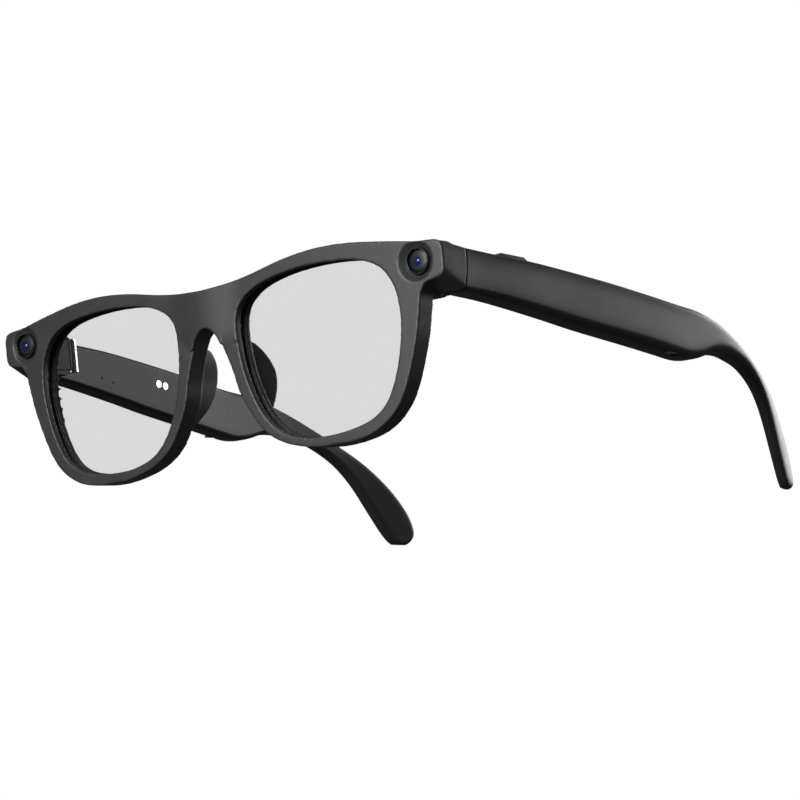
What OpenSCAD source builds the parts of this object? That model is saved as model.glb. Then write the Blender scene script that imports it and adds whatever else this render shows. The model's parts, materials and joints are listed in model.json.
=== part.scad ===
// Smart glasses: a camera in each end piece, electronics in both temples and a
// capture button on top of the left one. X is across the face with the wearer's
// left at +X, Y runs from the front to the temple tips, and Z is up. The glasses
// stand open on the rim bottoms and the temple tips, which touch Z = 0.
// The pieces are drawn in the front's own frame: Z lies in the front's plane, the
// rim bottoms are at Z = 0, and place() tilts that frame onto the table.

/* [Front] */
// Width across the front
front_w = 148; // [144:1:152]
// Depth of the front, from its face to its back
front_depth = 5.5; // [5.2:0.1:6]
// Radius of the front's curve, seen from above
wrap_r = 907; // [700:1:1400]

/* [Lenses] */
// Thickness of each lens
lens_t = 2; // [1.8:0.1:2.2]
// Depth of each lens behind the front face
lens_set_back = 2; // [1.7:0.1:2.1]
// How far the lens edge goes into its groove
groove_depth = 1; // [0.6:0.1:1.2]

/* [Cameras] */
// Radius of the glass window over each camera
window_r = 2.88; // [2.6:0.02:2.88]
// Radius of the lens barrel behind the window
barrel_r = 2.2; // [1.8:0.1:2.2]

/* [Hinges] */
// Radius of the hinge knuckles
knuckle_r = 1.4; // [1.2:0.05:1.4]
// Radius of the hinge pin
pin_r = 0.6; // [0.5:0.05:0.7]
// Running clearance between the pin and the temple's knuckle
pin_gap = 0.05; // [0.02:0.01:0.1]

/* [Temples] */
// Wall of the temple shell over its bay
wall = 1.2; // [1:0.1:1.3]
// Thickness of the temple's inner cover
cover_t = 1.2; // [1:0.1:1.2]

/* [Button] */
// How far the capture button goes down
button_travel = 0.3; // [0.2:0.05:0.35]
// How far the button stands above the temple
button_proud = 1; // [0.6:0.1:1.2]

/* [Stance] */
// Lean of the front when the glasses stand on a table
tilt = 5.75; // [5.5:0.05:6]

/* [Hidden] */

// The front's place on the table: how far back and how high its own frame sits
stand_y = -79.7;
stand_z = -0.38;
// Curves are drawn through their points with this many steps between two of them
steps = 6;
half_w = front_w / 2;
stretch = front_w / 148;

// Outer edge of the front's left half, from the top centre round to the nose arch
rim_points = [[0, 44.5], [8, 45], [16, 46.1], [26, 48], [36, 49], [46, 48.7], [57, 47.2],
    [66, 45.7], [71.5, 45.1], [73.7, 43.3], [74, 40.5], [73.3, 37.2], [71, 35.8], [68.3, 35.2],
    [66.7, 33], [65.8, 29], [64, 21.7], [60.1, 11.7], [56, 5.8], [50, 1.9], [43, 0.3], [36, 0],
    [29, 0.8], [22, 2.7], [16.2, 6.2], [12, 11.6], [9, 17.3], [7.5, 22.7], [5.6, 27.8],
    [3.6, 32.2], [1.7, 34.2], [0, 34.8]];
// Edge of the left lens opening
opening_points = [[10, 32.7], [11.2, 38.3], [15.5, 41.9], [22.7, 44.1], [32.3, 45.1], [42, 44.9],
    [50, 43.7], [55.6, 41], [58.8, 36.6], [60, 31.6], [59.9, 25], [57.9, 16.5], [54.4, 9.2],
    [49.5, 5.2], [42.5, 3.35], [35, 2.75], [28, 3.3], [21.3, 5.6], [16.3, 10.4], [13, 16.8],
    [10.8, 24.2]];
// Middle line of the flex channel along the brow
brow_points = [[0, 42.3], [8, 42.9], [14, 44], [20, 45.5], [26, 46.4], [36, 47.1], [46, 46.8],
    [55, 45.2], [61, 43.4]];
channel_h = 1.6;
channel_depth = 1.2;

// Nose pad: its rear edge in side view and the band that it grows from
pad_side = [[1, 31.5], [7.4, 30.7], [10, 29.2], [12, 26.7], [12.9, 24], [13, 21.8], [12.3, 19.2],
    [10.9, 16.6], [8.9, 14.2], [6.4, 12], [1, 10]];
pad_line = [[5.5, 31], [6.1, 27.5], [7.4, 23], [8.4, 19], [9.6, 15.5], [11.6, 11.8], [13, 9.5]];
pad_t = 1.9;
pad_splay = 9;
pad_in = 0.7;

// Camera: its centre in the front's plane and where each part of it lies along Y
camera_x = half_w - 7.6;
camera_z = 40.8;
camera_front_y = camera_x * camera_x / (2 * wrap_r);
bezel_r = 3.3;
bezel_y = camera_front_y + 0.1;
bezel_h = 1.8;
dish_r = 4.9;
dish_depth = 1.1;
dish_gap = 0.45;
module_y = camera_front_y + 4.2;
module_size = [6, 2.8, 5];

// Hinge: its axis, its knuckles and the block that carries it
hinge_x = half_w - 11;
hinge_y = 16.8;
block_in = half_w - 12.4;
block_out = half_w - 7.4;
block_y = hinge_y - knuckle_r - 0.1;
knuckle_low = [33.5, 36.3];
knuckle_mid = [36.4, 39.3];
knuckle_top = [39.4, 42];
leaf_t = 1.2;
seam_gap = 0.25;
endpiece_cover_t = 0.6;

// Temple: its upper and lower edges in side view, and its faces seen from above
seam_head = [12.6, 43.6];
seam_foot = [10.8, 32.8];
temple_top = [seam_head, [25, 42.2], [40, 40.7], [62, 37.5], [78, 34.8], [93, 32.1],
    [104, 30.4], [114, 27.7], [125, 23.3], [138, 16.6], [148, 10], [156, 2.4], [161.5, -5.2],
    [163.6, -10.8]];
temple_tip = [[162.9, -14.2], [160.6, -15.8], [157.4, -15.9]];
temple_bottom = [[154.2, -13.2], [150, -6.3], [144.3, 3.4], [138, 10.4], [129, 15.9],
    [119.5, 18.6], [114, 19.4], [108.5, 19.2], [103, 18], [98.5, 17.5], [94, 17.7],
    [87, 19], [75, 21.3], [57, 24.6], [44, 27.3], [29, 30.2], [20, 31.7], seam_foot];
outer_face = [[8, 0.1], [15, 0.5], [32, 2.3], [50, 4.1], [72, 6.5], [92, 8.2], [108, 8.2],
    [122, 6.7], [140, 2.8], [160, -3.8], [172, -8]];
inner_face = [[8, -6.9], [15, -6.6], [32, -4.8], [50, -3], [72, -0.8], [92, 1.1], [108, 1.5],
    [122, 1], [140, -1.5], [160, -7.2], [172, -11.2]];
bay_from = 16.4;
bay_to = 99;
cover_from = 18.4;
// The temple leans outwards and down by these angles over its bay
splay = 5.7;
droop = 9;
core_line = [[101, 24.4], [112, 23.6], [124, 20.4], [136, 13.6], [147, 2.6], [154, -7]];
core_t = 1.4;
core_margin = 1.35;

// Button: its place on the left temple, its size and its slot
button_y = 32;
button_z = lookup(button_y, temple_top);
button_l = 11.6;
button_w = 3;
button_x = half_w - 1.5;
slot_gap = 0.12;

function curve_at(a, b, c, d, t) =
    0.5 * (2 * b + (c - a) * t + (2 * a - 5 * b + 4 * c - d) * t * t
    + (3 * b - a - 3 * c + d) * t * t * t);
function open_curve(p) = concat(
    [for (i = [0 : len(p) - 2], s = [0 : steps - 1])
        curve_at(p[max(i - 1, 0)], p[i], p[i + 1], p[min(i + 2, len(p) - 1)], s / steps)],
    [p[len(p) - 1]]);
function closed_curve(p) = let (n = len(p))
    [for (i = [0 : n - 1], s = [0 : steps - 1])
        curve_at(p[(i + n - 1) % n], p[i], p[(i + 1) % n], p[(i + 2) % n], s / steps)];
function widened(p) = [for (q = p) [q.x * stretch, q.y]];
function reversed(p) = [for (i = [len(p) - 1 : -1 : 0]) p[i]];
function shifted(p, v) = [for (q = p) q + v];
// A left half that starts and ends on the middle line, joined to its mirror image
function both_halves(p) = concat(p, [for (i = [len(p) - 2 : -1 : 1]) [-p[i].x, p[i].y]]);
// A clockwise closed curve, moved outwards
function grown(p, by) = let (n = len(p))
    [for (i = [0 : n - 1]) let (d = p[(i + 1) % n] - p[(i + n - 1) % n], u = d / norm(d))
        p[i] + by * [-u.y, u.x]];
// An open line, moved to its left
function beside(c, by) = let (n = len(c))
    [for (i = [0 : n - 1]) let (d = c[min(i + 1, n - 1)] - c[max(i - 1, 0)], u = d / norm(d))
        c[i] + by * [-u.y, u.x]];
// A strip of the given width along an open line
function strip(c, width) = concat(beside(c, width / 2), reversed(beside(c, -width / 2)));
// A stretch of an edge between two places, moved up or down
function stretch_of(edge, from, to, up) =
    [for (i = [0 : 20]) let (y = from + (to - from) * i / 20) [y, lookup(y, edge) + up]];
// The temple's outline between two places along it, moved in by a margin
function window_of(from, to, margin) = concat(
    stretch_of(open_curve(temple_top), from, to, -margin),
    reversed(stretch_of(reversed(open_curve(concat(temple_tip, temple_bottom))), from, to,
        margin)));

rim = both_halves(widened(open_curve(rim_points)));
opening = widened(closed_curve(opening_points));
temple_side = open_curve(concat(temple_top, temple_tip, temple_bottom));

module place() translate([0, stand_y, stand_z]) rotate([tilt, 0, 0]) children();
module left() place() children();
module right() place() mirror([1, 0, 0]) children();
module both_sides() {
    children();
    mirror([1, 0, 0]) children();
}
// A flat shape in X and Z, drawn out along Y
module along_y(from, to) translate([0, to, 0]) rotate([90, 0, 0]) linear_extrude(to - from) children();
// A flat shape in Y and Z, drawn out along X
module along_x(from, to) translate([from, 0, 0]) rotate([90, 0, 90]) linear_extrude(to - from) children();
module box_to(low, high) translate(low) cube(high - low);
// A round bar along Y from one place to another
module bar_y(x, z, from, to, r, r_end = -1)
    translate([x, from, z]) rotate([-90, 0, 0])
        cylinder(r1 = r, r2 = r_end < 0 ? r : r_end, h = to - from, $fn = 64);
// The part of a flat outline that lies between two depths behind the curved front face
module curved_layer(from, to) intersection() {
    translate([0, wrap_r, -60]) difference() {
        cylinder(r = wrap_r - from, h = 160, $fn = 720);
        translate([0, 0, -1]) cylinder(r = wrap_r - to, h = 162, $fn = 720);
    }
    along_y(-2, 16) children();
}
// Everything below the table
module below_table() translate([0, 0, -50]) cube([200, 400, 100], center = true);

// Section through the camera pod, with a rounded and slightly bulging outer side
function pod_section(x_out, low, high, round_by, bulge) = concat([[half_w - 8.5, high], [half_w - 8.5, low]],
    open_curve([[x_out - round_by, low], [x_out - round_by * 0.3, low + round_by * 0.3],
        [x_out, low + round_by], [x_out + bulge, (low + high) / 2], [x_out, high - round_by],
        [x_out - round_by * 0.3, high - round_by * 0.3], [x_out - round_by, high]]));
// The end piece: the camera pod that the temple closes against, and the hinge block
module endpiece_body() {
    seam = seam_head - seam_foot;
    hull() {
        along_y(3, 3.2) polygon(pod_section(half_w, 35.9, 45.3, 2.4, 0));
        translate([0, seam_foot.x - seam_gap, seam_foot.y]) rotate([-atan2(seam.x, seam.y), 0, 0])
            along_y(-0.1, 0) polygon(pod_section(half_w + 0.4, 0, norm(seam), 1.5, 0.3));
    }
    along_x(block_in, block_out)
        polygon([[4, 44.2], [9.5, 43.7], [block_y - 1.2, 43.2], [block_y, 42.4], [block_y, 35.4],
            [block_y - 0.35, 34], [block_y - 1.3, 32.9], [block_y - 2.8, 32.3], [9, 32.4], [4, 33]]);
}
module hinge_slots() for (z = [knuckle_low, knuckle_top])
    box_to([hinge_x - leaf_t / 2, 12, z[0]], [hinge_x + leaf_t / 2, block_y + 1, z[1]]);
module endpiece_cover_body() box_to([block_in, 8.4, 34], [block_in + endpiece_cover_t, block_y - 1, 42]);
module endpiece_hollow() {
    box_to([block_in + endpiece_cover_t, module_y, camera_z - 2.7], [camera_x + 3.2, 10.2, camera_z + 2.5]);
    box_to([block_in + endpiece_cover_t, 8.4, 34], [block_out - 1.2, block_y - 1, 42]);
    hinge_slots();
    for (z = front_screw_z) bar_y(front_screw_x, z, block_y - 2, block_y - 0.3, screw_r);
}
module camera_bores() {
    bar_y(camera_x, camera_z, camera_front_y - 0.5, camera_front_y + dish_depth, dish_r + 0.6, bezel_r + dish_gap);
    bar_y(camera_x, camera_z, bezel_y - 1, bezel_y + bezel_h, bezel_r);
    bar_y(camera_x, camera_z, bezel_y, module_y + 1, barrel_r + 0.1);
}

module front_frame() color("#2b2b2d") difference() {
    place() difference() {
        union() {
            curved_layer(0, front_depth) polygon(rim);
            both_sides() endpiece_body();
        }
        both_sides() {
            along_y(-5, 7.4) polygon(opening);
            curved_layer(lens_set_back - 0.05, lens_set_back + lens_t + 0.05)
                polygon(grown(opening, groove_depth + 0.05));
            endpiece_hollow();
            endpiece_cover_body();
            camera_bores();
        }
        curved_layer(front_depth - channel_depth, front_depth + 2)
            polygon(brow_channel(channel_h));
    }
    below_table();
}
// The channel's outline across both halves
function brow_channel(width) = let (h = widened(open_curve(brow_points)))
    strip(concat([for (i = [len(h) - 1 : -1 : 1]) [-h[i].x, h[i].y]], h), width);
module brow_cover() color("#2b2b2d") place()
    curved_layer(front_depth - 0.7, front_depth) polygon(brow_channel(channel_h));
module front_flex() color("#b5762e") place()
    curved_layer(front_depth - channel_depth + 0.01, front_depth - channel_depth + 0.26)
        polygon(brow_channel(channel_h - 0.4));
module lens() color("#d9dcdd", 0.35)
    curved_layer(lens_set_back, lens_set_back + lens_t) polygon(grown(opening, groove_depth));
module nose_pad() color("#242426") difference() {
    intersection() {
        along_x(0, 20) polygon(open_curve(pad_side));
        translate([-pad_in, 0, 0]) rotate([0, 0, -pad_splay]) along_y(2, 18)
            polygon(concat(open_curve(pad_line), reversed(shifted(open_curve(pad_line), [pad_t, 0]))));
    }
    curved_layer(-2, front_depth) square(200, center = true);
}

module camera_bezel() color("#161618") difference() {
    bar_y(camera_x, camera_z, bezel_y, bezel_y + bezel_h, bezel_r);
    bar_y(camera_x, camera_z, bezel_y - 1, bezel_y + bezel_h + 1, window_r + 0.02);
}
module camera_window() color("#11131a")
    bar_y(camera_x, camera_z, bezel_y + 0.1, bezel_y + 0.8, window_r);
module camera_barrel() color("#1b1c22") difference() {
    bar_y(camera_x, camera_z, bezel_y + 0.85, module_y, barrel_r);
    bar_y(camera_x, camera_z, bezel_y + 0.75, bezel_y + 1.75, 1.9, 1.1);
}
module camera_module() color("#3a6b46")
    box_to([camera_x - module_size.x / 2, module_y, camera_z - module_size.z / 2],
        [camera_x + module_size.x / 2, module_y + module_size.y, camera_z + module_size.z / 2 - 0.1]);
module endpiece_cover() color("#2b2b2d") endpiece_cover_body();

// A hinge knuckle with its bore
module knuckle(z, bore_r) difference() {
    translate([hinge_x, hinge_y, z[0]]) cylinder(r = knuckle_r, h = z[1] - z[0], $fn = 64);
    translate([hinge_x, hinge_y, z[0] - 1]) cylinder(r = bore_r, h = z[1] - z[0] + 2, $fn = 64);
}
front_foot_y = block_y - 1;
front_screw_x = hinge_x + 1.3;
front_screw_z = [37.05, 38.65];
screw_r = 0.4;
head_r = 0.65;
module front_hinge() color("#b9babb") {
    difference() {
        union() {
            for (z = [knuckle_low, knuckle_top])
                box_to([hinge_x - leaf_t / 2, front_foot_y - 1, z[0]],
                    [hinge_x + leaf_t / 2, hinge_y - pin_r - 0.3, z[1]]);
            box_to([hinge_x - leaf_t / 2, front_foot_y - 1, 34.4], [block_out - 1.25, front_foot_y, 41.6]);
        }
        for (z = front_screw_z) bar_y(front_screw_x, z, front_foot_y - 2, front_foot_y + 1, screw_r);
        translate([hinge_x, hinge_y, 30]) cylinder(r = pin_r, h = 15, $fn = 64);
    }
    knuckle(knuckle_low, pin_r);
    knuckle(knuckle_top, pin_r);
}
module hinge_pin() color("#d8d9da") {
    translate([hinge_x, hinge_y, knuckle_low[0]])
        cylinder(r = pin_r, h = knuckle_top[1] - knuckle_low[0], $fn = 64);
    translate([hinge_x, hinge_y, knuckle_top[1]]) cylinder(r = 1, h = 0.5, $fn = 64);
}
module endpiece_screws() color("#c4c5c6") for (z = front_screw_z) {
    bar_y(front_screw_x, z, front_foot_y - 1, front_foot_y + 0.7, screw_r);
    bar_y(front_screw_x, z, front_foot_y - 1.5, front_foot_y - 1, head_r);
}

// A side outline cut to the space between two lines seen from above
module cut_between(side, low_line, high_line) intersection() {
    along_x(half_w - 24, half_w + 24) polygon(side);
    translate([half_w, 0, -40]) linear_extrude(120)
        polygon(concat([for (q = low_line) [q.y, q.x]], [for (q = reversed(high_line)) [q.y, q.x]]));
}
// A temple piece that starts this far out from the inner face and ends this far
// in from the outer face
module temple_slab(side, from_inner, from_outer) cut_between(side,
    shifted(open_curve(inner_face), [0, from_inner]), shifted(open_curve(outer_face), [0, -from_outer]));
// Children that lie along the temple's bay: X across it, Y along it and Z up
module in_bay(y) {
    middle = (lookup(y, outer_face) - wall + lookup(y, inner_face) + cover_t) / 2;
    height = (lookup(y, temple_top) + lookup(y, reversed(temple_bottom))) / 2;
    translate([half_w + middle, y, height]) rotate([-droop, 0, -splay]) children();
}
module middle_box(size) cube(size, center = true);
// A round bar that points sideways
module bar_x(y, z, from, to, r) translate([from, y, z]) rotate([0, 90, 0]) cylinder(r = r, h = to - from, $fn = 48);
hinge_plate_y = [hinge_y - 0.6, hinge_y + 0.6];
foot_x = half_w - 3.9;
foot_t = 1.4;
foot_z = [35.4, 39.4];
foot_end_y = 25;
hinge_screw_y = [19.5, 23];
hinge_screw_z = 38.2;
sound_x = half_w + 5.9;
sound_y = 89.5;

module temple_cover_body() cut_between(window_of(cover_from, bay_to - 1, wall + 0.2),
    open_curve(inner_face), shifted(open_curve(inner_face), [0, cover_t]));
module temple_hollow() {
    temple_slab(window_of(bay_from, bay_to, wall + 0.2), cover_t, wall);
    cut_between(window_of(cover_from, bay_to - 1, wall + 0.2), shifted(open_curve(inner_face), [0, -1]),
        shifted(open_curve(inner_face), [0, cover_t + 0.2]));
    temple_slab(strip(open_curve(core_line), core_t), core_margin, core_margin);
    // Slot for the hinge's plate
    box_to([hinge_x, hinge_plate_y[0], knuckle_mid[0]], [foot_x + 1, hinge_plate_y[1], knuckle_mid[1]]);
    // Sound slot under the speaker
    translate([sound_x, sound_y, 18]) rotate([0, 0, -splay]) middle_box([1.6, 4.6, 8]);
}
// The boss that the hinge is screwed to
module hinge_boss() box_to([foot_x + foot_t, foot_end_y - 7.2, hinge_screw_z - 1.4],
    [half_w, foot_end_y - 0.2, hinge_screw_z + 1.4]);
module temple_shell() difference() {
    union() {
        difference() {
            temple_slab(temple_side, 0, 0);
            temple_hollow();
        }
        hinge_boss();
    }
    for (y = hinge_screw_y) bar_x(y, hinge_screw_z, foot_x, half_w - 0.4, screw_r);
}
// A temple shell, placed and cut off where its tip stands on the table
module temple_tray() color("#303032") difference() {
    place() children();
    below_table();
}
module temple_hinge() color("#b9babb") {
    difference() {
        union() {
            box_to([hinge_x + pin_r + 0.3, hinge_plate_y[0], knuckle_mid[0]],
                [foot_x, hinge_plate_y[1], knuckle_mid[1]]);
            box_to([foot_x, bay_from + 0.1, foot_z[0]], [foot_x + foot_t, foot_end_y, foot_z[1]]);
        }
        for (y = hinge_screw_y) bar_x(y, hinge_screw_z, foot_x - 1, foot_x + 2, screw_r);
    }
    knuckle(knuckle_mid, pin_r + pin_gap);
}
module hinge_screws() color("#c4c5c6") for (y = hinge_screw_y) {
    bar_x(y, hinge_screw_z, foot_x, half_w - 0.5, screw_r);
    bar_x(y, hinge_screw_z, foot_x - 0.35, foot_x, head_r);
}
module board() color("#2f6b43") in_bay(38.5) difference() {
    union() {
        middle_box([0.7, 12, 4.8]);
        translate([0.8, -1.5, 0]) middle_box([0.9, 5, 3.6]);
    }
    translate([0, 4.5, 0]) rotate([0, 90, 0]) cylinder(r = 0.6, h = 4, center = true, $fn = 32);
}
module battery() color("#8f9398") in_bay(60) middle_box([3.6, 29, 8]);
module speaker() color("#3c3d40") in_bay(84) {
    middle_box([3.4, 13, 7]);
    translate([0.5, 0, -3.9]) middle_box([2.2, 10, 0.9]);
}
module speaker_grille() color("#77797c")
    translate([sound_x, sound_y, 18.9]) rotate([0, 0, -splay]) middle_box([1.5, 4.4, 0.5]);
module microphone_at(y, z) translate([half_w + lookup(y, outer_face) - wall - 0.6, y, z + 1.3])
    rotate([0, 0, -splay]) middle_box([0.8, 2.6, 1.6]);
module temple_core() color("#9fa1a3")
    temple_slab(strip(open_curve(core_line), core_t - 0.1), core_margin + 0.05, core_margin + 0.05);

mic_port = [21.5, 32.7];
inner_ports = [[34.6, 33.4], [39.6, 32.3]];
port_r = 0.35;
contact_places = [[60.3, 32.6], [63.3, 32.1]];
contact_r = 1.05;
function inner_x(y) = half_w + lookup(y, open_curve(inner_face));

module left_temple_shell() temple_tray() difference() {
    temple_shell();
    bar_x(mic_port.x, mic_port.y, half_w - 1, half_w + 6, port_r);
    at_button() {
        button_block(button_w + 2 * slot_gap, button_l + 2 * slot_gap, -4, 3);
        button_block(button_w + 1, button_l + 1.8, -3, -wall);
    }
}
module left_temple_cover() color("#303032") place() temple_cover_body();
// The button's place, turned so that Z is straight up from the table
module at_button() translate([button_x, button_y, button_z]) rotate([-tilt, 0, 0]) rotate([0, 0, -splay])
    children();
// A block centred under the button
module button_block(width, length, low, high)
    translate([0, 0, (low + high) / 2]) middle_box([width, length, high - low]);
module button_solid() {
    translate([-button_w / 2, 0, 0]) rotate([90, 0, 90]) linear_extrude(button_w)
        polygon([[-button_l / 2, -wall - 0.1], [-button_l / 2, 0.1], [-button_l / 2 + 1.6, button_proud],
            [button_l / 2 - 1.6, button_proud], [button_l / 2, 0.1], [button_l / 2, -wall - 0.1]]);
    button_block(button_w + 0.7, button_l + 1.4, -wall - 0.7, -wall - 0.1);
}
module capture_button() color("#2a2a2c") left()
    at_button() button_solid();
module button_switch() color("#c9b26b") left()
    at_button() button_block(1.2, 3, -wall - 2, -wall - 0.7 - button_travel);
module right_temple_shell() temple_tray() mirror([1, 0, 0]) temple_shell();
module right_temple_cover() color("#303032") right() difference() {
    temple_cover_body();
    for (p = inner_ports) bar_x(p.x, p.y, half_w - 6, half_w + 2, port_r);
    for (p = contact_places) bar_x(p.x, p.y, half_w - 4, half_w + 4, contact_r);
}
module right_microphones() color("#c7c9cb") right() for (p = inner_ports)
    translate([inner_x(p.x) + cover_t + 0.35, p.x, p.y]) rotate([0, 0, -splay]) middle_box([0.5, 2.4, 1.6]);
module charging_contacts() color("#d9dadb") right() for (p = contact_places)
    bar_x(p.x, p.y, inner_x(p.x) - 0.15, inner_x(p.x) + cover_t - 0.1, contact_r);

front_frame();
brow_cover();
front_flex();
left() lens();  // left_lens
right() lens();  // right_lens
left() nose_pad();  // left_nose_pad
right() nose_pad();  // right_nose_pad
left() camera_bezel();  // left_camera_bezel
right() camera_bezel();  // right_camera_bezel
left() camera_window();  // left_camera_window
right() camera_window();  // right_camera_window
left() camera_barrel();  // left_camera_barrel
right() camera_barrel();  // right_camera_barrel
left() camera_module();  // left_camera_module
right() camera_module();  // right_camera_module
left() endpiece_cover();  // left_endpiece_cover
right() endpiece_cover();  // right_endpiece_cover
left() front_hinge();  // left_front_hinge
right() front_hinge();  // right_front_hinge
left() hinge_pin();  // left_hinge_pin
right() hinge_pin();  // right_hinge_pin
left() endpiece_screws();  // left_endpiece_screws
right() endpiece_screws();  // right_endpiece_screws
left_temple_shell();
left_temple_cover();
left() temple_hinge();  // left_temple_hinge
left() hinge_screws();  // left_hinge_screws
left() board();  // left_board
left() battery();  // left_battery
left() speaker();  // left_speaker
left() speaker_grille();  // left_speaker_grille
left() color("#c7c9cb") microphone_at(mic_port.x, mic_port.y);  // left_microphone
left() temple_core();  // left_temple_core
button_switch();
capture_button();
right_temple_shell();
right_temple_cover();
right() temple_hinge();  // right_temple_hinge
right() hinge_screws();  // right_hinge_screws
right() board();  // right_board
right() battery();  // right_battery
right() speaker();  // right_speaker
right() speaker_grille();  // right_speaker_grille
right_microphones();
right() temple_core();  // right_temple_core
charging_contacts();
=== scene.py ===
# %% [markdown]
# # Smart glasses
# The glasses stand open, tilted a little back, and are seen from low down and to
# the wearer's left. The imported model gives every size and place, in metres. This
# script adds what makes them look moulded, polished and worn.

# %% Load the frame
import json
import math

import bmesh
import bpy
from mathutils import Matrix, Vector
from mathutils.bvhtree import BVHTree


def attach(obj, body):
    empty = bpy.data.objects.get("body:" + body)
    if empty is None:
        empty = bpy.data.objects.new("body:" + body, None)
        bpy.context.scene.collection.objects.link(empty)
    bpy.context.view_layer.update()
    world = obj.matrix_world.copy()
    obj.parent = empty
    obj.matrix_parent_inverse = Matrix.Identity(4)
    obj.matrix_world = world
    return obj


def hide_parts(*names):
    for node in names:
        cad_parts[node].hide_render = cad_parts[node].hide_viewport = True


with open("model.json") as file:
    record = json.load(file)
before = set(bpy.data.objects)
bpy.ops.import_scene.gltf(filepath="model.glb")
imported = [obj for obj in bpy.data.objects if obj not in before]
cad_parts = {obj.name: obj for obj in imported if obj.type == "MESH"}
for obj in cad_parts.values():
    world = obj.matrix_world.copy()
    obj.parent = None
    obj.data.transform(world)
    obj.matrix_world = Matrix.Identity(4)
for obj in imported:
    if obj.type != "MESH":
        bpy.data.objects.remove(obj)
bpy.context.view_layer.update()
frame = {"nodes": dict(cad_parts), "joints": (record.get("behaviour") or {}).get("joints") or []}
mm = 0.001
scene = bpy.context.scene

# %% [markdown]
# The camera comes first. It is a long lens about 0.8 m away, low enough to look up
# under the front, which is why the undersides show. It is placed by its own
# directions, because the picture also leans by a couple of degrees.

# %% Camera
camera_place = Vector((0.4953, -0.6388, -0.1216))
camera_turn = math.radians(38.0)
camera_rise = math.radians(-10.34)
camera_lean = math.radians(-2.36)
lens_length = 135.4

look = -Vector((math.sin(camera_turn) * math.cos(camera_rise),
                -math.cos(camera_turn) * math.cos(camera_rise), math.sin(camera_rise)))
level = Vector((math.cos(camera_turn), math.sin(camera_turn), 0))
upright = level.cross(look)
across = math.cos(camera_lean) * level + math.sin(camera_lean) * upright
upwards = -math.sin(camera_lean) * level + math.cos(camera_lean) * upright
camera_data = bpy.data.cameras.new("camera")
camera_data.lens = lens_length
camera_data.clip_start = 0.01
camera = bpy.data.objects.new("camera", camera_data)
camera_axes = Matrix((across, upwards, -look)).transposed().to_4x4()
camera.matrix_world = Matrix.Translation(camera_place) @ camera_axes
scene.collection.objects.link(camera)
scene.camera = camera
middle_of_glasses = Vector((0, 0, 0.025))
print("camera", round((camera_place - middle_of_glasses).length, 3), "m from the glasses")

# %% [markdown]
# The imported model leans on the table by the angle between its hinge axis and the
# vertical. Working in the front's own axes makes "up the front" and "straight back"
# simple: X is across, Y runs back from the middle of the front, and Z goes up the
# front from the bottom of the rims. The left hinge ties the two sets of axes
# together, because its place is known in both.

# %% The front's own axes
hinge = next(j for j in frame["joints"] if j["name"] == "left_temple_fold")
hinge_in_front = Vector((63, 16.8, 38)) * mm
front_up = Vector(hinge["axis"]).normalized()
lean = math.atan2(-front_up.y, front_up.z)
to_table = (Matrix.Translation(hinge["pos_m"]) @ Matrix.Rotation(lean, 4, "X")
            @ Matrix.Translation(-hinge_in_front))
to_front = to_table.inverted()
print("lean of the front", round(math.degrees(lean), 2), "degrees")


# %% [markdown]
# Black moulded plastic is never one flat black. It has a very fine sparked grain,
# slow changes of sheen where hands rub it, and edges that are a little paler than
# the faces. Noise on Object coordinates gives the first two, and the Pointiness of
# the mesh gives the third.

# %% Plastic
def noise_at(nodes, links, coords, scale, detail=2.0):
    noise = nodes.new("ShaderNodeTexNoise")
    noise.inputs["Scale"].default_value = scale
    noise.inputs["Detail"].default_value = detail
    links.new(coords.outputs["Object"], noise.inputs["Vector"])
    return noise.outputs["Fac"]


def spread(nodes, links, value, low, high, ends=(0.3, 0.7)):
    ranged = nodes.new("ShaderNodeMapRange")
    ranged.inputs["From Min"].default_value = ends[0]
    ranged.inputs["From Max"].default_value = ends[1]
    ranged.inputs["To Min"].default_value = low
    ranged.inputs["To Max"].default_value = high
    links.new(value, ranged.inputs["Value"])
    return ranged.outputs["Result"]


def finish_of(name, dark, light, rough, grain=0.0, grain_size=0.15 * mm, metal=0.0, worn=0.0,
              patch=14 * mm):
    """A finish that drifts from dark to light, and from smooth to rough, over patches of this size."""
    mat = bpy.data.materials.new(name)
    mat.use_nodes = True
    nodes, links = mat.node_tree.nodes, mat.node_tree.links
    shader = nodes["Principled BSDF"]
    coords = nodes.new("ShaderNodeTexCoord")
    patches = noise_at(nodes, links, coords, 1 / patch)
    colour = nodes.new("ShaderNodeMix")
    colour.data_type = "RGBA"
    colour.inputs[6].default_value = (*dark, 1)
    colour.inputs[7].default_value = (*light, 1)
    links.new(spread(nodes, links, patches, 0, 1), colour.inputs[0])
    shown = colour.outputs[2]
    if worn:
        edges = nodes.new("ShaderNodeNewGeometry")
        rubbed = nodes.new("ShaderNodeMix")
        rubbed.data_type = "RGBA"
        rubbed.inputs[7].default_value = (*[min(1, c + worn) for c in light], 1)
        links.new(shown, rubbed.inputs[6])
        links.new(spread(nodes, links, edges.outputs["Pointiness"], 0, 1, (0.52, 0.6)), rubbed.inputs[0])
        shown = rubbed.outputs[2]
    links.new(shown, shader.inputs["Base Color"])
    rubs = noise_at(nodes, links, coords, 1 / (patch * 0.35), 4)
    links.new(spread(nodes, links, rubs, rough[0], rough[1]), shader.inputs["Roughness"])
    shader.inputs["Metallic"].default_value = metal
    if grain:
        bump = nodes.new("ShaderNodeBump")
        bump.inputs["Strength"].default_value = grain
        bump.inputs["Distance"].default_value = grain_size * 0.4
        links.new(noise_at(nodes, links, coords, 1 / grain_size, 3), bump.inputs["Height"])
        links.new(bump.outputs["Normal"], shader.inputs["Normal"])
    return mat


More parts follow.
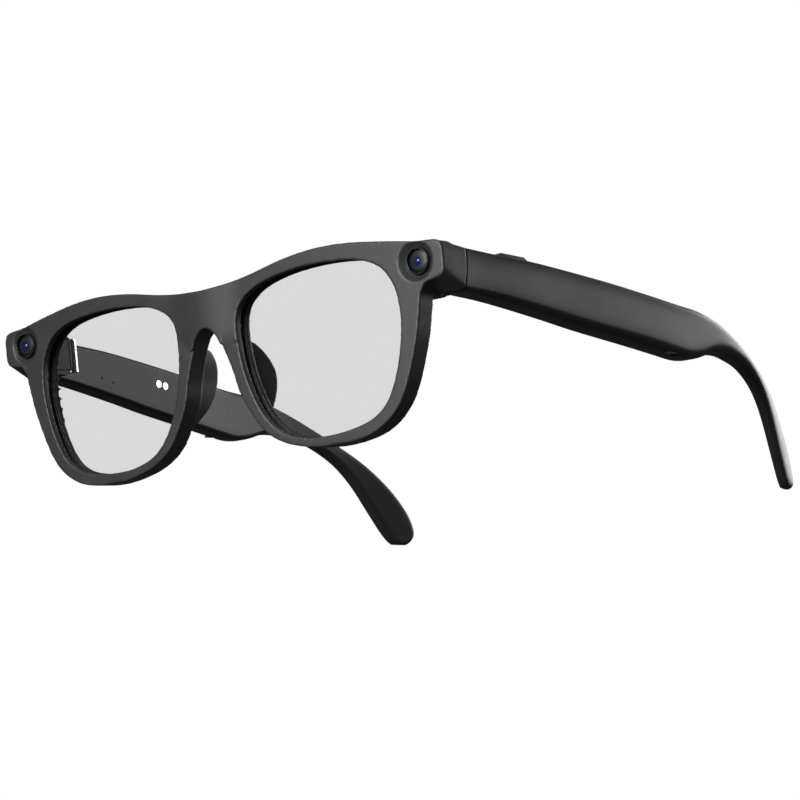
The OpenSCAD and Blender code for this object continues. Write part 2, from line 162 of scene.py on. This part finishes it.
frame_black = finish_of("frame_black", (0.030, 0.030, 0.031), (0.036, 0.036, 0.038),
                        (0.4, 0.48), 0.08, worn=0.01)
temple_black = finish_of("temple_black", (0.02, 0.02, 0.021), (0.025, 0.025, 0.026),
                         (0.365, 0.39), 0.03, worn=0.01)
print("plastics", frame_black.name, temple_black.name)


# %% [markdown]
# A moulded front has no sharp corners. It starts as a copy of its solids. An even
# skin is wrapped round it, what is inside is thrown away, and the skin is relaxed,
# which rounds the edges and blends the nose pads and end pieces into the rims as a
# mould does. A bevel would need clean edge loops, which a solid that was cut out of
# curves doesn't have. The bridge then gets a slight forward swell.

# %% Shapes in the front's axes
def add_piece(name, form, smooth=True):
    mesh = bpy.data.meshes.new(name)
    form.to_mesh(mesh)
    form.free()
    for face in mesh.polygons:
        face.use_smooth = smooth
    piece = bpy.data.objects.new(name, mesh)
    scene.collection.objects.link(piece)
    return piece


def block(form, centre, size, round_by=0.0, turn=0.0):
    made = bmesh.ops.create_cube(form, size=1)["verts"]
    bmesh.ops.scale(form, vec=[s * mm for s in size], verts=made)
    if round_by:
        edges = list({e for v in made for e in v.link_edges})
        made = bmesh.ops.bevel(form, geom=edges, offset=round_by * mm, segments=4, profile=0.5,
                               material=-1, affect="EDGES")["verts"]
    place = to_table @ Matrix.Translation([c * mm for c in centre]) @ Matrix.Rotation(turn, 4, "Z")
    bmesh.ops.transform(form, matrix=place, verts=made)
    return made


def rod(form, centre, radius, length):
    """A round rod that lies from side to side."""
    sideways = Matrix.Rotation(math.pi / 2, 4, "Y")
    place = to_table @ Matrix.Translation([c * mm for c in centre]) @ sideways
    return bmesh.ops.create_cone(form, cap_ends=True, segments=48, radius1=radius * mm,
                                 radius2=radius * mm, depth=length * mm, matrix=place)["verts"]


def apply_modifiers(piece):
    bpy.context.view_layer.update()
    shape = piece.evaluated_get(bpy.context.evaluated_depsgraph_get())
    mesh = bpy.data.meshes.new_from_object(shape)
    piece.modifiers.clear()
    piece.data = mesh
    return piece


def keep_outside(piece):
    """Throws away every shell of the piece but the largest, which is its outside."""
    form = bmesh.new()
    form.from_mesh(piece.data)
    left, shells = set(form.verts), []
    while left:
        stack, shell = [left.pop()], []
        while stack:
            vert = stack.pop()
            shell.append(vert)
            for edge in vert.link_edges:
                other = edge.other_vert(vert)
                if other in left:
                    left.discard(other)
                    stack.append(other)
        shells.append(shell)
    shells.sort(key=len)
    for shell in shells[:-1]:
        bmesh.ops.delete(form, geom=shell, context="VERTS")
    form.to_mesh(piece.data)
    form.free()


def merged_copy(*node_names):
    form = bmesh.new()
    for node in node_names:
        form.from_mesh(frame["nodes"][node].data)
    bmesh.ops.remove_doubles(form, verts=form.verts, dist=0.002 * mm)
    return form


def moulded(name, node_names, skin, relax):
    form = merged_copy(*node_names)
    piece = add_piece(name, form)
    wrap = piece.modifiers.new("skin", "REMESH")
    wrap.mode = "VOXEL"
    wrap.voxel_size = skin * mm
    apply_modifiers(piece)
    keep_outside(piece)
    smooth = piece.modifiers.new("relax", "SMOOTH")
    smooth.factor = 0.5
    smooth.iterations = relax
    return apply_modifiers(piece)


def shade(piece, sharp_from=None):
    """Smooth shading, with a hard line where two faces meet at more than this angle."""
    form = bmesh.new()
    form.from_mesh(piece.data)
    for face in form.faces:
        face.smooth = True
    if sharp_from:
        for edge in form.edges:
            edge.smooth = len(edge.link_faces) != 2 or edge.calc_face_angle() <= math.radians(sharp_from)
    form.to_mesh(piece.data)
    form.free()


def cut(piece, shape):
    """Cuts what the shape function draws out of the piece."""
    form = bmesh.new()
    shape(form)
    bmesh.ops.recalc_face_normals(form, faces=form.faces)
    cutter = add_piece("cutter", form, smooth=False)
    hole = piece.modifiers.new("hole", "BOOLEAN")
    hole.operation = "DIFFERENCE"
    hole.solver = "EXACT"
    hole.object = cutter
    apply_modifiers(piece)
    bpy.data.objects.remove(cutter)
    return piece


def dress(piece, body, slot, material, *nodes):
    piece.data.materials.clear()
    piece.data.materials.append(material)
    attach(piece, body)
    if nodes:
        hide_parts(*nodes)
    return piece


def span(node):
    """The lowest and highest corners of a node in the front's axes, in millimetres."""
    places = [to_front @ v.co for v in frame["nodes"][node].data.vertices]
    return [[pick(p[i] for p in places) / mm for i in range(3)] for pick in (min, max)]


# %% Front moulding
front_skin = 0.26
front_relax = 5
front_faces = 95000
bulge = 0.9
bulge_half_w = 13
bulge_depth = 5
bridge_low = 30
front_nodes = ["front_frame", "left_nose_pad", "right_nose_pad"]
front = moulded("front_moulding", front_nodes, front_skin, front_relax)
thin = front.modifiers.new("thin", "DECIMATE")
thin.ratio = min(1, front_faces / len(front.data.polygons))
apply_modifiers(front)
forward = to_table.to_3x3() @ Vector((0, -bulge * mm, 0))
for vert in front.data.vertices:
    place = to_front @ vert.co / mm
    if abs(place.x) < bulge_half_w and place.z > bridge_low:
        across_it = 0.5 + 0.5 * math.cos(math.pi * place.x / bulge_half_w)
        depth_share = max(0, 1 - max(0, place.y) / bulge_depth)
        vert.co += forward * across_it * depth_share
shade(front)
dress(front, "front", "frame_plastic", frame_black, *front_nodes)
print("front", len(front.data.polygons), "faces")

# %% [markdown]
# Each temple is one long tapering moulding. It is lofted: a row of rounded sections
# is set along its middle line, and each is joined to the next. Rays that are fired
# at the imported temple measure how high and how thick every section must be, so the
# loft follows the real outline. The outer face is crowned and its edges have a
# large radius, and the inner face is flat with a small one. A remesh would lose
# those soft, even highlights.

# %% Measuring the temple
middle_line = [(11.9, 38.2), (30, 36), (60, 31), (90, 25.8), (105, 24.4), (118, 22.4), (130, 18.2),
               (140, 12.2), (149, 3.6), (156, -5.6), (159.6, -12)]
seam_direction = Vector((0.164, 0.986))


def curve_through(points, steps):
    """A smooth line through the points, with the given number of steps between two of them."""
    line = []
    for i in range(len(points) - 1):
        a, b, c, d = [Vector(points[min(max(k, 0), len(points) - 1)]) for k in (i - 1, i, i + 1, i + 2)]
        for k in range(steps):
            t = k / steps
            line.append(0.5 * (2 * b + (c - a) * t + (2 * a - 5 * b + 4 * c - d) * t ** 2
                               + (3 * b - a - 3 * c + d) * t ** 3))
    return line + [Vector(points[-1])]


def look_up(table, y):
    """The table's value at y, on a straight line between two rows or past the last one."""
    for (y0, x0), (y1, x1) in zip(table, table[1:]):
        if y <= y1:
            break
    return x0 + (x1 - x0) * (y - y0) / (y1 - y0)


def solid_of(*names):
    form = bmesh.new()
    for name in names:
        form.from_mesh(frame["nodes"][name].data)
    bmesh.ops.transform(form, matrix=Matrix.Scale(1 / mm, 4) @ to_front, verts=form.verts)
    tree = BVHTree.FromBMesh(form)
    form.free()
    return tree


def reach(tree, start, aim):
    """How far along its aim a ray from the start goes before it meets the solid."""
    return tree.ray_cast(Vector(start), Vector(aim))[3] or math.inf


def stations(line, end_gap):
    """Places, directions and distances along the line, from the seam to the rounded tip."""
    lengths = [0]
    for p, q in zip(line, line[1:]):
        lengths.append(lengths[-1] + (q - p).length)
    total = lengths[-1] + end_gap
    run = [0, 0.1, 0.25, 0.5]  # close together at both ends, where the rounding turns fast
    while run[-1] < total - 6:
        run.append(run[-1] + 2)
    run += [total - left for left in (4.6, 3.4, 2.4, 1.6, 1, 0.55, 0.25, 0.08)]
    placed = []
    for s in run:
        i = max(k for k in range(len(line) - 1) if lengths[k] <= s)
        heading = (line[min(i + 2, len(line) - 1)] - line[max(i - 1, 0)]).normalized()
        up = Vector((-heading.y, heading.x))
        up = up.lerp(seam_direction, max(0, 1 - s / 15)).normalized()
        placed.append((line[i] + (line[i + 1] - line[i]).normalized() * (s - lengths[i]), up, s, total - s))
    return placed


def section(low, high, deep, r_in, r_out, crown):
    """Points (up, out) round a section whose inner face is at 0 and outer face at deep."""
    points = []
    for up, out, r, first in ((low, deep, r_out, -90), (high, deep, r_out, 0), (high, 0, r_in, 90),
                              (low, 0, r_in, 180)):
        inward = (r if up == low else -r, -r if out else r)
        for k in range(7):
            turn = math.radians(first + 15 * k)
            points.append((up + inward[0] + r * math.sin(turn), out + inward[1] + r * math.cos(turn)))
        step_to = {-90: (high - r_out, deep), 90: (low + r_in, 0)}.get(first)
        if step_to:
            here = points[-1][0]
            points += [(here + (step_to[0] - here) * k / 6, step_to[1]) for k in range(1, 6)]
    middle, half = (low + high) / 2, (high - low) / 2
    return [(u, v - crown * ((u - middle) / half) ** 2 * v / deep) for u, v in points]


def edge_inset(depth, radius):
    """How far a rounded end has drawn in at this depth from it."""
    return radius - math.sqrt(radius ** 2 - max(0, radius - depth) ** 2)


# %% Temple loft
far = 25
seam_round = 0.3
tip_round = 1.4
crown = 0.5


def temple(side, sign):
    solid = solid_of(side + "_temple_shell", side + "_temple_cover")
    line = curve_through(middle_line, 6)
    heading = (line[-1] - line[-2]).normalized()
    outer, inner = [], []
    for p in line:
        outer.append((p.x, 100 - reach(solid, (sign * 100, p.x, p.y), (-sign, 0, 0))))
        inner.append((p.x, min(reach(solid, (0, p.x, p.y + lift), (sign, 0, 0)) for lift in (-2, 0, 2))))
    tip_x = sign * (outer[-1][1] + inner[-1][1]) / 2
    beyond = line[-1] + heading * 20
    end_gap = 20 - reach(solid, (tip_x, beyond.x, beyond.y), (0, -heading.x, -heading.y))
    form = bmesh.new()
    rings = []
    for p, up, from_seam, from_tip in stations(line, end_gap):
        deep = look_up(outer, p.x) - look_up(inner, p.x)
        high, low = 0, 0
        for in_by in (0.7, deep / 2):
            x = sign * (look_up(outer, p.x) - in_by)
            above, below = p + far * up, p - far * up
            high = max(high, far - reach(solid, (x, above.x, above.y), (0, -up.x, -up.y)))
            low = max(low, far - reach(solid, (x, below.x, below.y), (0, up.x, up.y)))
        seam_inset = edge_inset(from_seam, seam_round)
        inset = seam_inset + edge_inset(from_tip, tip_round)
        r_out = min(1.3 + from_seam / 60, 2.4, 0.42 * deep, 0.45 * (high + low))
        r_in = min(0.9 + from_seam / 160, 0.4 * deep, 0.45 * (high + low))
        ring = []
        for u, v in section(seam_inset - low, high - seam_inset, deep - 2 * inset, r_in, r_out, crown):
            y = p.x + u * up.x
            share = (v + inset) / deep
            x = look_up(inner, y) + share * (look_up(outer, y) - look_up(inner, y))
            ring.append(form.verts.new(to_table @ (Vector((sign * x, y, p.y + u * up.y)) * mm)))
        rings.append([form.edges.new((ring[k - 1], ring[k])) for k in range(len(ring))])
    for one, other in zip(rings, rings[1:]):
        bmesh.ops.bridge_loops(form, edges=one + other)
    for end in (rings[0], rings[-1]):
        bmesh.ops.contextual_create(form, geom=end)
    bmesh.ops.recalc_face_normals(form, faces=form.faces)
    return add_piece(side + "_temple_moulding", form)


# %% Holes in the temples
button_low, button_high = span("capture_button")
grille_low, grille_high = span("left_speaker_grille")
mic_low, mic_high = span("left_microphone")
bay_turn = math.radians(-5.7)
button_centre = [(a + b) / 2 for a, b in zip(button_low, button_high)]
grille_centre = [(a + b) / 2 for a, b in zip(grille_low, grille_high)]
port_place = [mic_high[0] + 0.6, (mic_low[1] + mic_high[1]) / 2, mic_low[2] - 0.5]
inner_ports = [(34.6, 33.4), (39.6, 32.3)]
inner_wall_x = 71.4
button_hole = (3.3, 11.9, 5)
grille_slot = (1.6, 4.6, 4)
grille_sink = 1.4


def left_holes(form):
    block(form, button_centre, button_hole, 0, bay_turn)
    x, y, z = grille_centre
    block(form, (x, y, z - grille_sink), grille_slot, 0.25, bay_turn)
    rod(form, port_place, 0.3, 4)


def right_holes(form):
    x, y, z = grille_centre
    block(form, (-x, y, z - grille_sink), grille_slot, 0.25, -bay_turn)
    for y, z in inner_ports:
        rod(form, (-inner_wall_x + 1.2, y, z), 0.35, 3)


for side, sign, holes in (("left", 1, left_holes), ("right", -1, right_holes)):
    arm = cut(temple(side, sign), holes)
    shade(arm, 40)
    dress(arm, side + "_temple", "temple_plastic", temple_black,
          side + "_temple_shell", side + "_temple_cover")
    print(arm.name, len(arm.data.polygons), "faces")


# %% [markdown]
# Small hard parts keep the shape that they were packed with, and get a fine bevel so
# that every edge catches a line of light. The bevel only works once the doubled
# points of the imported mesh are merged.

# %% Small parts with softened edges
def softened(name, node, width, body, slot, material):
    form = merged_copy(node)
    bmesh.ops.dissolve_limit(form, angle_limit=math.radians(2), verts=form.verts, edges=form.edges)
    sharp = [e for e in form.edges if len(e.link_faces) == 2 and e.calc_face_angle() > math.radians(35)]
    bmesh.ops.bevel(form, geom=sharp, offset=width * mm, segments=3, profile=0.5, material=-1,
                    affect="EDGES", clamp_overlap=True)
    bmesh.ops.recalc_face_normals(form, faces=form.faces)
    piece = add_piece(name, form)
    shade(piece, 40)
    return dress(piece, body, slot, material, node)


button_black = finish_of("button_black", (0.03, 0.03, 0.031), (0.036, 0.036, 0.037), (0.3, 0.38), 0.15)
ring_black = finish_of("ring_black", (0.012, 0.012, 0.013), (0.02, 0.02, 0.022), (0.18, 0.28), patch=4 * mm)
softened("capture_button_cap", "capture_button", 0.25, "capture_button", "button_plastic", button_black)
for side in ("left", "right"):
    softened(side + "_camera_ring", side + "_camera_bezel", 0.08, "front", "bezel_plastic", ring_black)

# %% [markdown]
# The camera is what the eye goes to. Behind a clear window sits a shallow, satin
# dome with a small glossy bead in its middle. Their coating is drawn as rings round
# one axis: deep blue in the middle, black, then a thin grey ring where the barrel's
# edge shows. The ring colours also emit a little, a painted glow that makes the blue
# middle and the grey ring shine though no lamp lights them. The bead turns a soft box
# into a small bright glint, which a flat disc would not.

# %% Camera eyes
eye_height = 0.3
eye_radius = 2.75
eye_rough = 0.35
bead_height = 0.6
bead_radius = 1.05
bead_rough = 0.04


def coated_and_glowing(name, centre, rough):
    mat = bpy.data.materials.new(name)
    mat.use_nodes = True
    nodes, links = mat.node_tree.nodes, mat.node_tree.links
    shader = nodes["Principled BSDF"]
    coords = nodes.new("ShaderNodeTexCoord")
    from_axis = nodes.new("ShaderNodeVectorMath")
    from_axis.operation = "DISTANCE"
    from_axis.inputs[1].default_value = centre
    links.new(coords.outputs["Object"], from_axis.inputs[0])
    rings = nodes.new("ShaderNodeValToRGB")
    links.new(spread(nodes, links, from_axis.outputs["Value"], 0, 1, (0, 3 * mm)), rings.inputs[0])
    stops = ((0, (0.04, 0.08, 0.5)), (0.14, (0.02, 0.04, 0.26)), (0.3, (0.006, 0.008, 0.03)),
             (0.5, (0.003, 0.003, 0.006)), (0.6, (0.03, 0.03, 0.04)), (0.65, (0.004, 0.004, 0.005)))
    ramp = rings.color_ramp
    for at, colour in stops[1:-1]:
        ramp.elements.new(at).color = (*colour, 1)
    ramp.elements[0].color = (*stops[0][1], 1)
    ramp.elements[-1].position = stops[-1][0]
    ramp.elements[-1].color = (*stops[-1][1], 1)
    links.new(rings.outputs["Color"], shader.inputs["Base Color"])
    shader.inputs["Roughness"].default_value = rough
    # painted glow: the ring colours also emit a little light, so the blue middle and the grey ring shine
    # though no lamp lights them
    shader.inputs["Emission Strength"].default_value = 0.15
    links.new(rings.outputs["Color"], shader.inputs["Emission Color"])
    return mat


def dome(name, centre, radius, height, rough):
    form = bmesh.new()
    cap = bmesh.ops.create_uvsphere(form, u_segments=48, v_segments=24, radius=1)["verts"]
    bmesh.ops.scale(form, vec=(radius * mm, height * mm, radius * mm), verts=cap)
    bmesh.ops.transform(form, matrix=to_table @ Matrix.Translation([c * mm for c in centre]), verts=cap)
    middle = to_table @ (Vector(centre) * mm)
    return dress(add_piece(name, form), "front", "camera_glass", coated_and_glowing(name + "_coating_and_glow", middle, rough))


for side in ("left", "right"):
    low, high = span(side + "_camera_window")
    camera_eye = [(low[0] + high[0]) / 2, high[1] - 0.1, (low[2] + high[2]) / 2]
    eye = dome(side + "_camera_eye", camera_eye, eye_radius, eye_height, eye_rough)
    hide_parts(side + "_camera_barrel")
    dome(side + "_camera_bead", camera_eye, bead_radius, bead_height, bead_rough)
    print("eye at", [round(c, 2) for c in camera_eye], "mm in the front's axes")

# %% [markdown]
# The lenses are thin clear sheets with a faint grey tint. Light must reach what lies
# behind them, so the tint is a see-through shader, and a very small share of mirror
# lays a soft reflection of the studio over it.

# %% Lenses and windows
def clear_sheet(name, tint, mirror):
    mat = bpy.data.materials.new(name)
    mat.use_nodes = True
    nodes, links = mat.node_tree.nodes, mat.node_tree.links
    nodes.remove(nodes["Principled BSDF"])
    coords = nodes.new("ShaderNodeTexCoord")
    clear = nodes.new("ShaderNodeBsdfTransparent")
    clear.inputs["Color"].default_value = (*tint, 1)
    shine = nodes.new("ShaderNodeBsdfGlossy")
    smear = spread(nodes, links, noise_at(nodes, links, coords, 60), 0.0, 0.02)
    links.new(smear, shine.inputs["Roughness"])
    share = nodes.new("ShaderNodeMixShader")
    share.inputs[0].default_value = mirror
    links.new(clear.outputs[0], share.inputs[1])
    links.new(shine.outputs[0], share.inputs[2])
    links.new(share.outputs[0], nodes["Material Output"].inputs["Surface"])
    return mat


def finish(nodes, material):
    for node in nodes:
        piece = frame["nodes"][node]
        piece.data.materials.clear()
        piece.data.materials.append(material)


mirror_share = 0.004
lens_clear = clear_sheet("lens_clear", (0.838, 0.838, 0.838), mirror_share)
window_clear = clear_sheet("camera_glass", (0.95, 0.95, 0.96), mirror_share)
finish(["left_lens", "right_lens"], lens_clear)
finish(["left_camera_window", "right_camera_window"], window_clear)
print("clear sheets", lens_clear.name, window_clear.name)

# %% [markdown]
# Everything that stays as it was packed still needs its own finish, hidden parts
# too, because the glasses can be taken apart.

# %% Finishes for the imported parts
both = ("left_", "right_")
hinge_steel = finish_of("hinge_steel", (0.78, 0.78, 0.79), (0.9, 0.9, 0.91), (0.16, 0.26),
                        metal=1, patch=3 * mm)
screw_steel = finish_of("screw_steel", (0.5, 0.5, 0.51), (0.62, 0.62, 0.63), (0.28, 0.38),
                        metal=1, patch=2 * mm)
contact_metal = finish_of("contact_metal", (0.86, 0.86, 0.85), (0.94, 0.94, 0.93), (0.2, 0.3),
                          metal=1, patch=2 * mm)
board_green = finish_of("board_green", (0.01, 0.09, 0.03), (0.02, 0.14, 0.05), (0.35, 0.5), patch=3 * mm)
flex_amber = finish_of("flex_amber", (0.45, 0.2, 0.04), (0.55, 0.27, 0.06), (0.25, 0.35), patch=6 * mm)
foil = finish_of("battery_foil", (0.5, 0.51, 0.53), (0.62, 0.63, 0.65), (0.3, 0.45),
                 metal=0.9, patch=5 * mm)
speaker_dark = finish_of("speaker_black", (0.02, 0.02, 0.022), (0.03, 0.03, 0.033), (0.5, 0.65),
                         patch=4 * mm)
mesh_grey = finish_of("grille_mesh", (0.03, 0.03, 0.032), (0.06, 0.06, 0.065), (0.4, 0.55), 0.6,
                      0.25 * mm, metal=0.7)
can_steel = finish_of("mic_can", (0.55, 0.55, 0.57), (0.68, 0.68, 0.7), (0.3, 0.4),
                      metal=1, patch=2 * mm)
core_steel = finish_of("core_steel", (0.42, 0.42, 0.44), (0.55, 0.55, 0.57), (0.3, 0.42),
                       metal=1, patch=8 * mm)
brass = finish_of("switch_brass", (0.62, 0.45, 0.16), (0.75, 0.56, 0.24), (0.25, 0.35),
                  metal=1, patch=2 * mm)
for part, material in (("front_hinge", hinge_steel), ("hinge_pin", hinge_steel), ("temple_hinge", hinge_steel),
                       ("endpiece_screws", screw_steel), ("hinge_screws", screw_steel),
                       ("camera_module", board_green), ("board", board_green),
                       ("endpiece_cover", frame_black), ("battery", foil), ("speaker", speaker_dark),
                       ("speaker_grille", mesh_grey), ("temple_core", core_steel)):
    finish([side + part for side in both], material)
finish(["brow_cover"], frame_black)
finish(["left_microphone", "right_microphones"], can_steel)
finish(["front_flex"], flex_amber)
finish(["charging_contacts"], contact_metal)
finish(["button_switch"], brass)
print("finishes", len(bpy.data.materials))

# %% [markdown]
# The floor is a plain pale sheet that the rims and the tips stand on. The camera
# looks up from a little below it, so the sheet is clear from underneath and only
# shows from above. It is kept out of soft and mirrored light, which leaves the
# undersides dark.

# %% Floor
floor_form = bmesh.new()
bmesh.ops.create_grid(floor_form, x_segments=1, y_segments=1, size=3)
floor = add_piece("floor", floor_form, smooth=False)
floor_paint = bpy.data.materials.new("floor_paint")
floor_paint.use_nodes = True
paint_nodes, paint_links = floor_paint.node_tree.nodes, floor_paint.node_tree.links
pale = paint_nodes["Principled BSDF"]
floor_coords = paint_nodes.new("ShaderNodeTexCoord")
clouds = noise_at(paint_nodes, paint_links, floor_coords, 3)
paint_links.new(spread(paint_nodes, paint_links, clouds, 0.55, 0.7), pale.inputs["Roughness"])
pale.inputs["Base Color"].default_value = (0.8, 0.8, 0.8, 1)
facing = paint_nodes.new("ShaderNodeNewGeometry")
see_through = paint_nodes.new("ShaderNodeBsdfTransparent")
one_sided = paint_nodes.new("ShaderNodeMixShader")
paint_links.new(facing.outputs["Backfacing"], one_sided.inputs[0])
paint_links.new(pale.outputs[0], one_sided.inputs[1])
paint_links.new(see_through.outputs[0], one_sided.inputs[2])
paint_links.new(one_sided.outputs[0], paint_nodes["Material Output"].inputs["Surface"])
floor.data.materials.append(floor_paint)
floor.visible_diffuse = False
floor.visible_glossy = False
print("floor", [round(d, 2) for d in floor.dimensions], "m")

# %% [markdown]
# A plain studio: everything behind is white, and soft boxes light the glasses from
# the front, from above and from behind. The side box stands where the contacts and
# the rear of the left temple mirror it. Nothing shines from below.

# %% Studio
scene.view_settings.view_transform = "Standard"
world = bpy.data.worlds.new("studio")
scene.world = world
world.use_nodes = True
sky_nodes, sky_links = world.node_tree.nodes, world.node_tree.links
sky = sky_nodes["Background"]
sky.inputs["Color"].default_value = (0.05, 0.05, 0.05, 1)
backdrop = sky_nodes.new("ShaderNodeBackground")
backdrop.inputs["Color"].default_value = (1, 1, 1, 1)
paths = sky_nodes.new("ShaderNodeLightPath")
seen = sky_nodes.new("ShaderNodeMath")
seen.operation = "MAXIMUM"
sky_links.new(paths.outputs["Is Camera Ray"], seen.inputs[0])
sky_links.new(paths.outputs["Is Transmission Ray"], seen.inputs[1])
choose = sky_nodes.new("ShaderNodeMixShader")
sky_links.new(seen.outputs[0], choose.inputs[0])
sky_links.new(sky.outputs[0], choose.inputs[1])
sky_links.new(backdrop.outputs[0], choose.inputs[2])
sky_links.new(choose.outputs[0], sky_nodes["World Output"].inputs["Surface"])


def soft_box(name, place, aim, size, power):
    data = bpy.data.lights.new(name, "AREA")
    data.shape = "RECTANGLE"
    data.size, data.size_y = size
    data.energy = power
    lamp = bpy.data.objects.new(name, data)
    lamp.location = place
    lamp.rotation_euler = (Vector(aim) - Vector(place)).to_track_quat("-Z", "Y").to_euler()
    scene.collection.objects.link(lamp)
    return lamp


soft_box("front", (0.0, -1.5, 0.3), (0, 0, 0.02), (1.0, 0.8), 30)
soft_box("behind", (0.1, 1.6, 0.55), (0.05, 0.1, 0.02), (1.0, 0.7), 9)
soft_box("side", (1.2, 1.35, 0.3), (0, 0.05, 0.02), (0.5, 0.6), 4)
soft_box("top", (0, 0.2, 1.2), (0, 0, 0), (0.8, 0.8), 4)
